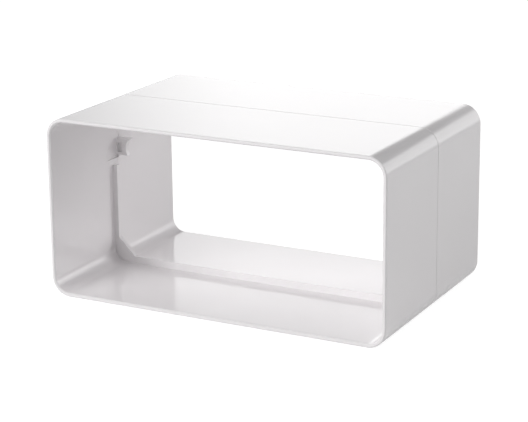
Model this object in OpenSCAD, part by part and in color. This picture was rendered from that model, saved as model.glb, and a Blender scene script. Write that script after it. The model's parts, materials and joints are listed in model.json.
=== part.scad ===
// Straight connector for flat rectangular duct.
// A short one-piece sleeve: a section of duct pushes in from each mouth, up to the stop rib
// at mid-depth. X is the width, Y runs along the duct, Z is up, and the origin is under the
// middle of the sleeve. The front mouth looks towards -Y.

/* [Duct that it joins] */
// Outside width of the duct
duct_w = 110; // [80:1:220]
// Outside height of the duct
duct_h = 53.4; // [48:0.1:110]
// Clearance between the duct and the tight end of its socket, on each side
fit_gap = 0.15; // [0.05:0.05:0.4]

/* [Sleeve] */
// Thickness of the wall in the middle of the sleeve
wall = 1.5; // [1.4:0.1:2.6]
// Length of the sleeve from mouth to mouth
sleeve_len = 72; // [50:1:140]
// Radius of the inside corners
inner_r = 4.5; // [3.5:0.1:9]
// How much wider each socket is at its mouth than at its end, on each side
draft = 0.15; // [0:0.05:0.3]

/* [Mouths] */
// Bevel along the outer edge of each rim
rim_outer_bevel = 0.3; // [0.1:0.05:0.4]
// Lead-in bevel along the inner edge of each rim
rim_inner_bevel = 0.4; // [0.1:0.05:0.5]

/* [Stop rib] */
// Height of the rib above the floor of the sleeve
rib_floor_h = 2.2; // [1:0.1:4]
// Height of the rib off each side wall
rib_side_h = 1.5; // [0.8:0.1:3]
// Thickness of the rib along the duct
rib_w = 1.6; // [1:0.1:4]
// Distance from mid-depth to the middle of the rib, towards the front
rib_forward = 0.9; // [-3:0.1:3]
// Leg of the slanted gusset that the rib makes across each lower corner
rib_gusset = 5.8; // [2:0.1:9]
// Height above the floor of the sleeve at which the rib ends on each side wall
rib_rise = 32.2; // [15:0.1:34]

/* [Gate lugs] */
// Height of a lug, measured up its side wall
lug_len = 5.7; // [3:0.1:8]
// How far the tips of a lug stand in from the side wall
lug_reach = 4.8; // [2.5:0.1:7]
// Thickness of a lug along the duct
lug_w = 1.8; // [1.2:0.1:3]
// Depth of the hollow that the cut end of a lug has
lug_hollow = 1.2; // [0.2:0.1:1.6]
// How much further the top tip of a lug reaches than the bottom tip
lug_lean = 1; // [0:0.1:1.5]
// Gap between the top of the rib and the bottom of a lug
lug_gap = 2.7; // [1:0.1:4]
// Radius of the dished hollow in the wall in front of a lug
dish_r = 7.4; // [3:0.1:10]
// Depth of the dished hollow
dish_d = 0.6; // [0.2:0.05:0.7]
// How far the foot of the dished hollow lies below the foot of the lug
dish_drop = 0.9; // [0:0.1:2]
// Height of the notch in the foot of a lug
notch_h = 3.1; // [1:0.1:4]
// How far the notch reaches in from the side wall
notch_reach = 1.5; // [0.5:0.1:2.4]
// Depth of the notch along the duct
notch_d = 0.8; // [0.3:0.1:1]

/* [Mould line] */
// Distance from mid-depth to the mould line, towards the back
seam_back = 1.4; // [0:0.1:4]
// Width of the fine groove that the line leaves round the outside
seam_w = 0.4; // [0.2:0.05:0.6]
// Depth of the fine groove
seam_d = 0.2; // [0.05:0.05:0.4]
// Step that the line leaves inside, where the front half is the wider
seam_step = 0.12; // [0:0.02:0.2]

/* [Hidden] */
$fn = 64;
inner_w = duct_w + 2 * fit_gap;
inner_h = duct_h + 2 * fit_gap;
outer_w = inner_w + 2 * wall;
outer_h = inner_h + 2 * wall;
outer_r = inner_r + wall;
mid_z = outer_h / 2;
// centres of the corner arcs, measured from the axis of the duct
arc_x = inner_w / 2 - inner_r;
arc_z = inner_h / 2 - inner_r;
// overlap that bonds the rib and the lugs to the wall
bond = wall / 2;
rib_top = wall + rib_rise;
lug_z = rib_top + lug_gap;

// Stands a shape on its side, from drawn along Z to lying along the duct
module along_duct() {
    translate([0, 0, mid_z]) rotate([90, 0, 0]) children();
}

// Carries a section of the wall once round the sleeve: four straight runs and four arcs.
// In the section x is the distance from the centre of a corner arc and y runs to the front.
module swept_round() {
    for (k = [0:3]) {
        half_span = k % 2 == 0 ? arc_x : arc_z;
        half_run = k % 2 == 0 ? arc_z : arc_x;
        rotate([0, 0, 90 * k]) translate([half_span, half_run, 0]) {
            rotate([90, 0, 0]) linear_extrude(2 * half_run) children();
            rotate_extrude(angle = 90) children();
        }
    }
}

// Section of the wall from mouth to mouth: drafted sockets, bevelled rims, mould line
module wall_section() {
    mouth = sleeve_len / 2;
    seam = -seam_back;
    front_r = inner_r + seam_step;
    polygon([
        [outer_r - rim_outer_bevel, -mouth],
        [outer_r, -mouth + rim_outer_bevel],
        [outer_r, seam - seam_w / 2],
        [outer_r - seam_d, seam],
        [outer_r, seam + seam_w / 2],
        [outer_r, mouth - rim_outer_bevel],
        [outer_r - rim_outer_bevel, mouth],
        [front_r + draft + rim_inner_bevel, mouth],
        [front_r + draft, mouth - rim_inner_bevel],
        [front_r, seam],
        [inner_r, seam],
        [inner_r + draft, -mouth + rim_inner_bevel],
        [inner_r + draft + rim_inner_bevel, -mouth]
    ]);
}

// Stop rib: across the floor, over a gusset in each lower corner and part way up each side
module stop_rib() {
    side = inner_w / 2 - rib_side_h;
    low = -inner_h / 2 + rib_floor_h;
    top = rib_top - mid_z;
    along_duct() translate([0, 0, rib_forward - rib_w / 2]) linear_extrude(rib_w)
        difference() {
            intersection() {
                union() {
                    square([inner_w + 2 * bond, 2 * arc_z], center = true);
                    square([2 * arc_x, inner_h + 2 * bond], center = true);
                    for (sx = [-1, 1], sz = [-1, 1])
                        translate([sx * arc_x, sz * arc_z]) circle(r = inner_r + bond);
                }
                translate([-outer_w / 2, -outer_h / 2]) square([outer_w, outer_h / 2 + top]);
            }
            polygon([
                [-side, top + wall], [-side, low + rib_gusset], [-side + rib_gusset, low],
                [side - rib_gusset, low], [side, low + rib_gusset], [side, top + wall]
            ]);
        }
}

// Lug on the left wall above the end of the rib, with its hollow cut end and its notch
module gate_lug() {
    chord = sqrt(lug_len * lug_len + lug_lean * lug_lean);
    hollow_r = (chord * chord / 4 + lug_hollow * lug_hollow) / (2 * lug_hollow);
    tilt = atan2(lug_lean, lug_len);
    difference() {
        translate([-inner_w / 2, seam_back + lug_w, lug_z]) rotate([90, 0, 0])
            linear_extrude(lug_w) difference() {
                polygon([
                    [-bond, 0], [lug_reach - lug_lean, 0],
                    [lug_reach, lug_len], [-bond, lug_len]
                ]);
                translate([lug_reach - lug_lean / 2, lug_len / 2]) rotate(-tilt)
                    translate([hollow_r - lug_hollow, 0]) circle(r = hollow_r);
            }
        lug_notch();
    }
}

// Notch in the foot of the lug, open to the front
module lug_notch() {
    low = lug_z + (lug_len - notch_h) / 3;
    translate([-inner_w / 2 - seam_step, seam_back - notch_d, low])
        cube([notch_reach + seam_step, 2 * notch_d, notch_h]);
}

// Dished hollow in the left wall, in front of the lug and ending under it
module gate_dish() {
    ball_r = (dish_r * dish_r + dish_d * dish_d) / (2 * dish_d);
    foot = lug_z - dish_drop;
    intersection() {
        translate([-inner_w / 2 - seam_step + ball_r - dish_d, seam_back, foot])
            sphere(r = ball_r, $fn = 180);
        translate([-outer_w / 2, seam_back + lug_w / 2 - 2 * dish_r, foot])
            cube([outer_w / 4, 2 * dish_r, 2 * dish_r]);
    }
}

module connector_body() {
    color("ghostwhite") {
        difference() {
            along_duct() swept_round() wall_section();
            for (side = [0, 1]) mirror([side, 0, 0]) gate_dish();
        }
        stop_rib();
        for (side = [0, 1]) mirror([side, 0, 0]) gate_lug();
    }
}

connector_body();
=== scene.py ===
"""Looks of a one-piece connector for flat rectangular duct: gloss white moulded plastic in a white studio."""

import json
import logging
import math
from dataclasses import dataclass, field
from enum import Enum
from typing import Any

import bpy
from mathutils import Euler, Matrix, Vector

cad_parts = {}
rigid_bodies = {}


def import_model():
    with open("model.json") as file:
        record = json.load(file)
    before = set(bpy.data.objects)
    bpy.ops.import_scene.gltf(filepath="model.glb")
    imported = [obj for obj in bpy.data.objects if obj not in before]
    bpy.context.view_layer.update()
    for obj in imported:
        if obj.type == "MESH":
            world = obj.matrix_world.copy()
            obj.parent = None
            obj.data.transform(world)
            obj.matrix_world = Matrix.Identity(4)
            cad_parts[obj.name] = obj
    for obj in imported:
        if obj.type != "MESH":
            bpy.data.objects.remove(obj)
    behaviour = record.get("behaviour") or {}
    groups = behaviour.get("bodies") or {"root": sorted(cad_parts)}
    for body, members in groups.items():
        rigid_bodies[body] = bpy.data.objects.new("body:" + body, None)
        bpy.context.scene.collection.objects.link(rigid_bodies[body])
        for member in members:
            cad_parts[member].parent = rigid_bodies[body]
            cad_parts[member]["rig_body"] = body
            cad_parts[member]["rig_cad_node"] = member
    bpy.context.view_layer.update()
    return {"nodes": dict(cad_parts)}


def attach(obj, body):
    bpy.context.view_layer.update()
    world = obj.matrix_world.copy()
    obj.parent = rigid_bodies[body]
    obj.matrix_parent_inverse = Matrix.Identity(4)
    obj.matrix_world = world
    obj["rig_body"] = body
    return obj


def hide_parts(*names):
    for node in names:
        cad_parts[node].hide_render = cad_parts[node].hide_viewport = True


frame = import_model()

BODY = "root"
SLEEVE_NODE = "connector_body"
MM = 0.001

log = logging.getLogger("duct_connector")

Value = Any
Colour = tuple[float, float, float]
Point = tuple[float, float, float]


class MathStep(Enum):
    """The sums that a shader value can take part in."""

    ADD = "ADD"
    SUBTRACT = "SUBTRACT"
    MULTIPLY = "MULTIPLY"
    DIVIDE = "DIVIDE"
    MAXIMUM = "MAXIMUM"


@dataclass(frozen=True)
class Signal:
    """A shader socket that Python's operators work on."""

    graph: "NodeGraph"
    socket: bpy.types.NodeSocket

    def _step(self, step: MathStep, left: Value, right: Value) -> "Signal":
        """Adds one Math node.

        Args:
            step: The sum that the node does.
            left: Its first value, a number or a signal.
            right: Its second value.

        Returns:
            The node's result.
        """
        node = self.graph.add("ShaderNodeMath", {"operation": step.value}, {0: left, 1: right})
        return Signal(self.graph, node.outputs[0])

    def __add__(self, other: Value) -> "Signal":
        """self + other."""
        return self._step(MathStep.ADD, self, other)

    def __radd__(self, other: Value) -> "Signal":
        """other + self."""
        return self._step(MathStep.ADD, other, self)

    def __sub__(self, other: Value) -> "Signal":
        """self - other."""
        return self._step(MathStep.SUBTRACT, self, other)

    def __rsub__(self, other: Value) -> "Signal":
        """other - self."""
        return self._step(MathStep.SUBTRACT, other, self)

    def __mul__(self, other: Value) -> "Signal":
        """self * other."""
        return self._step(MathStep.MULTIPLY, self, other)

    def __rmul__(self, other: Value) -> "Signal":
        """other * self."""
        return self._step(MathStep.MULTIPLY, other, self)

    def larger(self, other: Value) -> "Signal":
        """The larger of self and other."""
        return self._step(MathStep.MAXIMUM, self, other)


class NodeGraph:
    """Adds nodes to one material's or world's node tree."""

    def __init__(self, tree: bpy.types.NodeTree) -> None:
        """Empties the tree, ready for new nodes.

        Args:
            tree: The node tree to build in.
        """
        self.tree = tree
        self.tree.nodes.clear()

    def add(self, kind: str, settings: dict[str, Value], inputs: dict[Value, Value]) -> bpy.types.Node:
        """Adds any node: first its settings, then the values or links of its sockets.

        Args:
            kind: The node's type name.
            settings: Attributes such as a Math node's operation. "stops" holds a ramp's stops.
            inputs: A number, colour, vector, socket or signal for each named or numbered input.

        Returns:
            The new node.
        """
        node = self.tree.nodes.new(kind)
        for name, value in settings.items():
            if name == "stops":
                self._set_stops(node.color_ramp, value)
            else:
                setattr(node, name, value)
        for key, value in inputs.items():
            if isinstance(value, Signal):
                self.tree.links.new(value.socket, node.inputs[key])
            elif isinstance(value, bpy.types.NodeSocket):
                self.tree.links.new(value, node.inputs[key])
            else:
                node.inputs[key].default_value = value
        return node

    def signal(self, kind: str, settings: dict[str, Value], inputs: dict[Value, Value], output: Value = 0) -> Signal:
        """Adds a node as add() does and returns one of its outputs as a signal."""
        return Signal(self, self.add(kind, settings, inputs).outputs[output])

    @staticmethod
    def _set_stops(ramp: bpy.types.ColorRamp, stops: list[tuple[float, Colour]]) -> None:
        """Gives a colour ramp its stops, two or more, in rising order.

        Args:
            ramp: The ramp of a Color Ramp node.
            stops: Place and colour of each stop.
        """
        while len(ramp.elements) < len(stops):
            ramp.elements.new(1.0)
        for element, (place, colour) in zip(ramp.elements, stops):
            element.position = place
            element.color = (*colour, 1.0)


@dataclass(frozen=True)
class MouldedPlastic:
    """Gloss off-white plastic, as it comes out of a polished mould."""

    name: str = "white_plastic"
    colour: Colour = (0.89, 0.868, 0.878)
    shade: Colour = (0.868, 0.846, 0.856)
    roughness: float = 0.10
    roughness_spread: float = 0.06
    flow_scale: float = 28.0
    sink_scale: float = 55.0
    sink_depth: float = 0.00004
    grain_scale: float = 2600.0
    grain_depth: float = 0.000002

    def material(self) -> bpy.types.Material:
        """Builds the material.

        Returns:
            A new material on Object coordinates.
        """
        made = bpy.data.materials.new(self.name)
        made.use_nodes = True
        graph = NodeGraph(made.node_tree)
        place = graph.add("ShaderNodeTexCoord", {}, {}).outputs["Object"]
        flow = graph.signal("ShaderNodeTexNoise", {}, {"Vector": place, "Scale": self.flow_scale, "Detail": 3.0})
        sink = graph.signal("ShaderNodeTexNoise", {}, {"Vector": place, "Scale": self.sink_scale, "Detail": 1.0})
        grain = graph.signal("ShaderNodeTexNoise", {}, {"Vector": place, "Scale": self.grain_scale, "Detail": 2.0})
        tint = graph.add(
            "ShaderNodeMix", {"data_type": "RGBA"},
            {"Factor": flow, "A": (*self.shade, 1.0), "B": (*self.colour, 1.0)},
        ).outputs["Result"]
        relief = sink * self.sink_depth + grain * self.grain_depth
        bump = graph.add("ShaderNodeBump", {}, {"Height": relief, "Distance": 1.0, "Strength": 1.0})
        shader = graph.add(
            "ShaderNodeBsdfPrincipled", {},
            {
                "Base Color": tint,
                "Roughness": self.roughness + flow * self.roughness_spread,
                "IOR": 1.5,
                "Normal": bump.outputs["Normal"],
            },
        )
        graph.add("ShaderNodeOutputMaterial", {}, {"Surface": shader.outputs["BSDF"]})
        return made


@dataclass
class Sleeve:
    """The moulded sleeve, which is the whole object."""

    node: str = SLEEVE_NODE
    name: str = "moulded_sleeve"
    finish: MouldedPlastic = field(default_factory=MouldedPlastic)
    weld_mm: float = 0.001
    flat_deg: float = 0.4
    sharp_deg: float = 28.0
    edge_mm: float = 0.12
    edge_steps: int = 2

    def build(self) -> bpy.types.Object:
        """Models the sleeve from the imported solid, with clean faces and softened edges.

        Returns:
            The finished piece.
        """
        sleeve = self._copy_of_solid()
        self._weld(sleeve)
        self._soften(sleeve)
        sleeve.data.materials.clear()
        sleeve.data.materials.append(self.finish.material())
        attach(sleeve, BODY)
        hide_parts(self.node)
        return sleeve

    def _copy_of_solid(self) -> bpy.types.Object:
        """Copies the node with a mesh of its own.

        Returns:
            The copy, selected and active.
        """
        bpy.ops.object.select_all(action="DESELECT")
        sleeve = frame["nodes"][self.node].copy()
        sleeve.data = sleeve.data.copy()
        sleeve.name = self.name
        sleeve.data.name = self.name
        sleeve.parent = None
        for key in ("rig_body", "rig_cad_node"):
            del sleeve[key]
        bpy.context.scene.collection.objects.link(sleeve)
        sleeve.select_set(True)
        bpy.context.view_layer.objects.active = sleeve
        return sleeve

    def _weld(self, sleeve: bpy.types.Object) -> None:
        """Joins the loose triangles and dissolves the edges inside each flat face."""
        bpy.ops.object.mode_set(mode="EDIT")
        bpy.ops.mesh.select_all(action="SELECT")
        bpy.ops.mesh.customdata_custom_splitnormals_clear()
        bpy.ops.mesh.remove_doubles(threshold=self.weld_mm * MM)
        bpy.ops.mesh.dissolve_limited(angle_limit=math.radians(self.flat_deg))
        bpy.ops.object.mode_set(mode="OBJECT")

    def _soften(self, sleeve: bpy.types.Object) -> None:
        """Rounds the sharp edges a little and shades the flat faces flat."""
        bpy.ops.object.shade_smooth()
        bevel = sleeve.modifiers.new("edges", "BEVEL")
        bevel.width = self.edge_mm * MM
        bevel.segments = self.edge_steps
        bevel.limit_method = "ANGLE"
        bevel.angle_limit = math.radians(self.sharp_deg)
        bevel.use_clamp_overlap = True
        bevel.miter_outer = "MITER_ARC"
        bpy.ops.object.modifier_apply(modifier=bevel.name)
        weighted = sleeve.modifiers.new("flats", "WEIGHTED_NORMAL")
        weighted.keep_sharp = True
        weighted.weight = 100
        bpy.ops.object.modifier_apply(modifier=weighted.name)


@dataclass
class PhotoCamera:
    """Camera at the photograph's angle, fitted to the sleeve's straight edges."""

    frame_px: tuple[int, int] = (528, 422)
    focal_px: float = 1786.7
    axis_px: tuple[float, float] = (295.2, 185.6)
    place_mm: Point = (249.4, -472.5, 182.1)
    turn_deg: float = 26.876
    tilt_deg: float = 15.604
    roll_deg: float = 0.317
    sensor_mm: float = 36.0

    def build(self) -> bpy.types.Object:
        """Adds the camera and makes it the scene's own.

        Returns:
            The camera object.
        """
        width, height = self.frame_px
        data = bpy.data.cameras.new("photo_camera")
        data.sensor_width = self.sensor_mm
        data.lens = self.focal_px / width * self.sensor_mm
        data.shift_x = (width / 2 - self.axis_px[0]) / width
        data.shift_y = (self.axis_px[1] - height / 2) / width
        data.clip_start = 0.01
        data.clip_end = 50.0
        camera = bpy.data.objects.new("photo_camera", data)
        bpy.context.scene.collection.objects.link(camera)
        aim = Euler((math.radians(90.0 - self.tilt_deg), 0.0, math.radians(self.turn_deg)))
        roll = Matrix.Rotation(math.radians(-self.roll_deg), 4, "Z")
        place = Matrix.Translation(Vector(self.place_mm) * MM)
        camera.matrix_world = place @ aim.to_matrix().to_4x4() @ roll
        bpy.context.scene.camera = camera
        return camera


@dataclass(frozen=True)
class SoftPanel:
    """A soft rectangular lamp that looks at a point."""

    name: str
    place: Point
    target: Point
    size: tuple[float, float]
    radiance: float
    colour: Colour = (1.0, 1.0, 1.0)

    def build(self) -> bpy.types.Object:
        """Adds the lamp.

        Returns:
            The lamp object, unseen by the camera.
        """
        data = bpy.data.lights.new(self.name, "AREA")
        data.shape = "RECTANGLE"
        data.size, data.size_y = self.size
        data.energy = self.radiance * math.pi * self.size[0] * self.size[1]
        data.color = self.colour
        lamp = bpy.data.objects.new(self.name, data)
        bpy.context.scene.collection.objects.link(lamp)
        lamp.location = self.place
        towards = Vector(self.target) - Vector(self.place)
        lamp.rotation_euler = towards.to_track_quat("-Z", "Y").to_euler()
        lamp.visible_camera = False
        return lamp


@dataclass(frozen=True)
class Backdrop:
    """The bright low sweep behind the sleeve, which fades towards its left end and its top."""

    centre_x: float = 0.10
    distance: float = 1.25
    width: float = 2.4
    height: float = 0.66
    radiance: float = 2.1
    fade_left: tuple[float, float] = (-1.05, -0.66)
    fade_top: tuple[float, float] = (0.52, 0.62)
    least: float = 0.35

    def build(self) -> bpy.types.Object:
        """Adds the sweep as a glowing card, unseen by the camera.

        Returns:
            The card.
        """
        card = upright_card("backdrop", self.centre_x, self.distance, self.width, 0.0, self.height)
        made = bpy.data.materials.new("backdrop_glow")
        made.use_nodes = True
        graph = NodeGraph(made.node_tree)
        place = graph.add("ShaderNodeTexCoord", {}, {}).outputs["Object"]
        apart = graph.add("ShaderNodeSeparateXYZ", {}, {"Vector": place})
        along = graph.signal(
            "ShaderNodeMapRange", {"interpolation_type": "SMOOTHSTEP"},
            {"Value": apart.outputs["X"], "From Min": self.fade_left[0], "From Max": self.fade_left[1],
             "To Min": self.least, "To Max": 1.0},
        )
        upwards = graph.signal(
            "ShaderNodeMapRange", {"interpolation_type": "SMOOTHSTEP"},
            {"Value": apart.outputs["Z"], "From Min": self.fade_top[0], "From Max": self.fade_top[1],
             "To Min": 1.0, "To Max": 0.0},
        )
        glow = graph.add(
            "ShaderNodeEmission", {}, {"Color": (1.0, 1.0, 1.0, 1.0), "Strength": along * upwards * self.radiance}
        )
        graph.add("ShaderNodeOutputMaterial", {}, {"Surface": glow.outputs["Emission"]})
        card.data.materials.append(made)
        card.visible_camera = False
        return card


@dataclass(frozen=True)
class Flag:
    """A black card high behind the sleeve, which only reflections show."""

    centre_x: float = 0.10
    distance: float = 1.27
    width: float = 3.0
    foot: float = 0.63
    height: float = 1.6

    def build(self) -> bpy.types.Object:
        """Adds the card.

        Returns:
            The card.
        """
        card = upright_card("flag", self.centre_x, self.distance, self.width, self.foot, self.height)
        made = bpy.data.materials.new("flag_black")
        made.use_nodes = True
        graph = NodeGraph(made.node_tree)
        matt = graph.add("ShaderNodeBsdfDiffuse", {}, {"Color": (0.0, 0.0, 0.0, 1.0)})
        graph.add("ShaderNodeOutputMaterial", {}, {"Surface": matt.outputs["BSDF"]})
        card.data.materials.append(made)
        card.visible_camera = False
        card.visible_diffuse = False
        card.visible_shadow = False
        return card


def upright_card(
    name: str, centre_x: float, distance: float, width: float, foot: float, height: float
) -> bpy.types.Object:
    """Stands a flat card behind the sleeve, facing it.

    Args:
        name: The card's name.
        centre_x: Where its middle is across the scene.
        distance: How far it is behind the sleeve's middle.
        width: Its width.
        foot: Height of its lower edge.
        height: Its height.

    Returns:
        The card, with its place in its mesh.
    """
    bpy.ops.object.select_all(action="DESELECT")
    bpy.ops.mesh.primitive_plane_add(
        size=1.0, location=(centre_x, distance, foot + height / 2), rotation=(math.radians(90.0), 0.0, 0.0)
    )
    card = bpy.context.object
    card.name = name
    card.scale = (width, height, 1.0)
    bpy.ops.object.transform_apply(location=True, rotation=True, scale=True)
    return card


@dataclass
class Studio:
    """Pale floor, white surroundings and soft lamps."""

    floor_size: float = 6.0
    floor_colour: Colour = (0.95, 0.95, 0.95)
    floor_glow: float = 1.40
    floor_share: float = 0.60
    reflected_share: float = 0.15
    room_light: float = 0.26
    backdrop: Backdrop = field(default_factory=Backdrop)
    flag: Flag = field(default_factory=Flag)
    panels: tuple[SoftPanel, ...] = (
        SoftPanel("key_panel", (-0.90, -1.15, 0.70), (0.0, 0.0, 0.03), (0.9, 0.9), 3.9),
        SoftPanel("front_panel", (-0.44, -1.40, 0.65), (0.0, 0.0, 0.03), (0.7, 0.9), 3.2),
        SoftPanel("back_right_panel", (1.0, 1.1, 0.55), (0.0, 0.0, 0.03), (0.8, 0.8), 3.4),
    )

    def build(self) -> None:
        """Adds the floor, the world, the cards and the lamps."""
        self._floor()
        self._world()
        self.backdrop.build()
        self.flag.build()
        for panel in self.panels:
            panel.build()

    def _floor(self) -> bpy.types.Object:
        """Lays the floor just under the sleeve.

        Returns:
            The floor object.
        """
        bpy.ops.object.select_all(action="DESELECT")
        bpy.ops.mesh.primitive_plane_add(size=self.floor_size)
        floor = bpy.context.object
        floor.name = "floor"
        made = bpy.data.materials.new("pale_floor")
        made.use_nodes = True
        graph = NodeGraph(made.node_tree)
        matt = graph.add("ShaderNodeBsdfDiffuse", {}, {"Color": (*self.floor_colour, 1.0)})
        glow = graph.add("ShaderNodeEmission", {}, {"Color": (1.0, 1.0, 1.0, 1.0), "Strength": self.floor_glow})
        camera, mirrored = self._seen(graph)
        share = (camera * self.floor_share).larger(mirrored * self.reflected_share)
        both = graph.add("ShaderNodeMixShader", {}, {0: share, 1: matt.outputs["BSDF"], 2: glow.outputs["Emission"]})
        graph.add("ShaderNodeOutputMaterial", {}, {"Surface": both.outputs["Shader"]})
        floor.data.materials.append(made)
        return floor

    def _world(self) -> None:
        """Makes the surroundings: white where they are seen, plain soft light elsewhere."""
        world = bpy.data.worlds.new("white_room")
        bpy.context.scene.world = world
        world.use_nodes = True
        graph = NodeGraph(world.node_tree)
        camera, mirrored = self._seen(graph)
        strength = self.room_light + camera.larger(mirrored) * (1.0 - self.room_light)
        light = graph.add("ShaderNodeBackground", {}, {"Color": (1.0, 1.0, 1.0, 1.0), "Strength": strength})
        graph.add("ShaderNodeOutputWorld", {}, {"Surface": light.outputs["Background"]})

    @staticmethod
    def _seen(graph: NodeGraph) -> tuple[Signal, Signal]:
        """Tells how a surface is seen.

        Args:
            graph: The graph that the nodes go into.

        Returns:
            1 where the camera sees the surface, and 1 where a reflection or a clear piece shows it.
        """
        path = graph.add("ShaderNodeLightPath", {}, {})
        camera, glossy, through = (
            Signal(graph, path.outputs[name])
            for name in ("Is Camera Ray", "Is Glossy Ray", "Is Transmission Ray")
        )
        return camera, glossy.larger(through)


def main() -> None:
    """Builds the camera, the sleeve and the studio in order, and logs the sleeve's face count."""
    logging.basicConfig(level=logging.INFO, format="%(name)s: %(message)s")
    bpy.context.scene.view_settings.view_transform = "Standard"
    PhotoCamera().build()
    sleeve = Sleeve().build()
    log.info("piece %s with %d faces", sleeve.name, len(sleeve.data.polygons))
    Studio().build()


if __name__ == "__main__":
    main()
